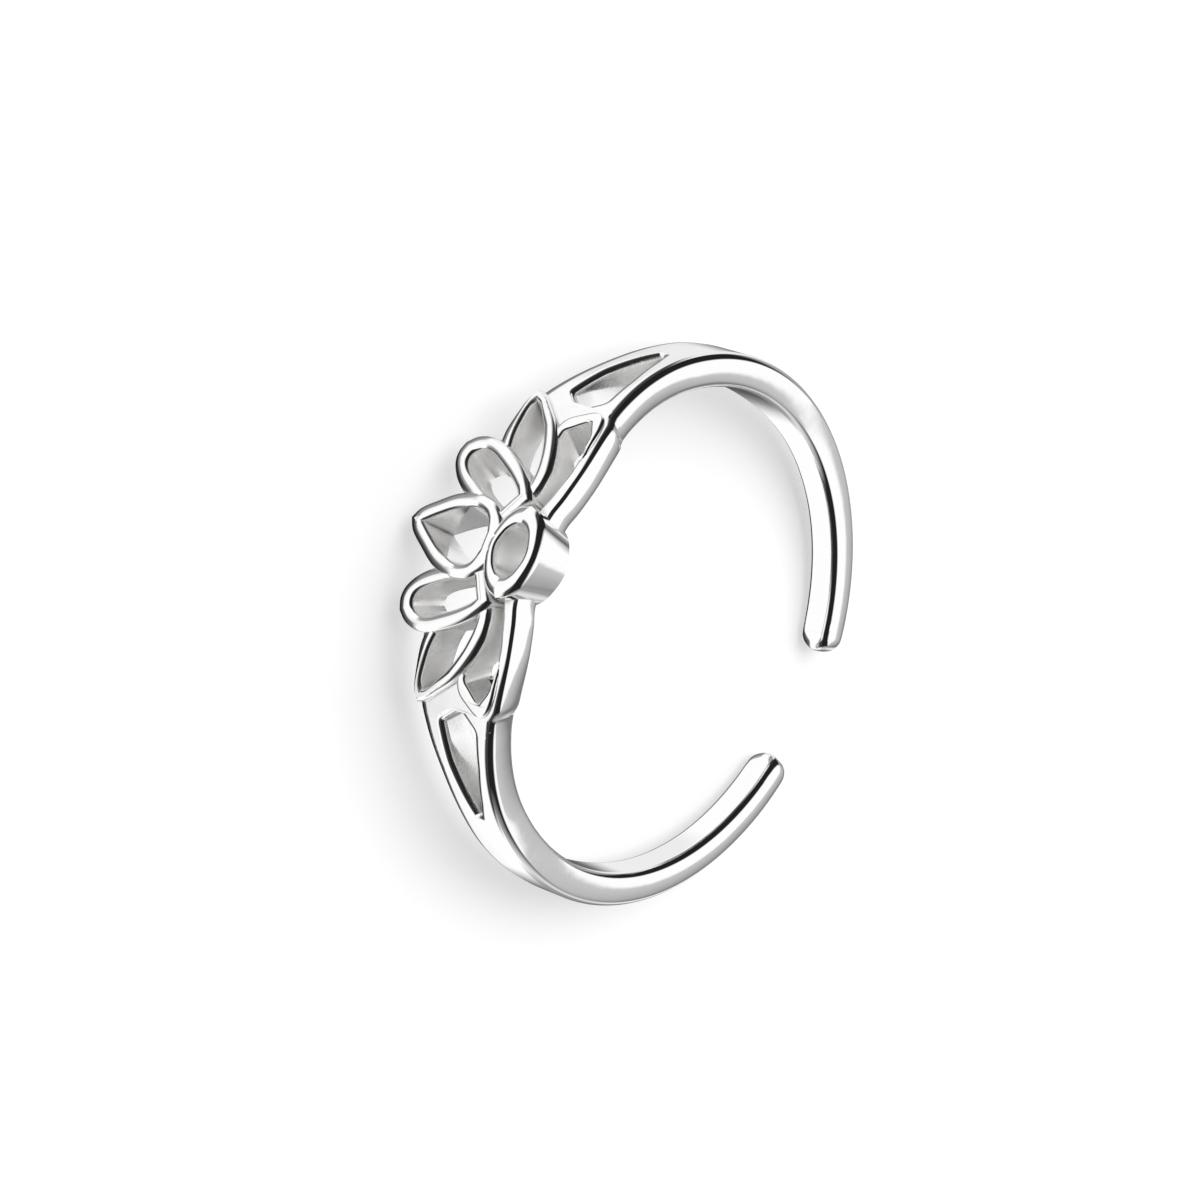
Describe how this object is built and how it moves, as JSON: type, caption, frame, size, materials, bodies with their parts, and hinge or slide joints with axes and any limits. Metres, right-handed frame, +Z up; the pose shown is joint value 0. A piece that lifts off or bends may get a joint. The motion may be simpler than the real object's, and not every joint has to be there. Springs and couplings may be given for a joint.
{
  "type": "toe ring",
  "caption": "Open silver toe ring whose band splits into two rails that carry a pierced lotus; it springs open at the back to go on a toe.",
  "frame": {"origin": "middle of the ring's footprint on the surface it lies on", "axes": "+Z up, the surface at z = 0; -Y to the lotus, +Y to the open back; the toe hole's axis leans 10 degrees from +Z towards +Y"},
  "size_m": [0.017, 0.0177, 0.005],
  "materials": {
    "polished_silver": "high-polish sterling silver, slightly darkened in the creases"
  },
  "bodies": {
    "root": {"toe_ring": "polished_silver"}
  },
  "joints": []
}
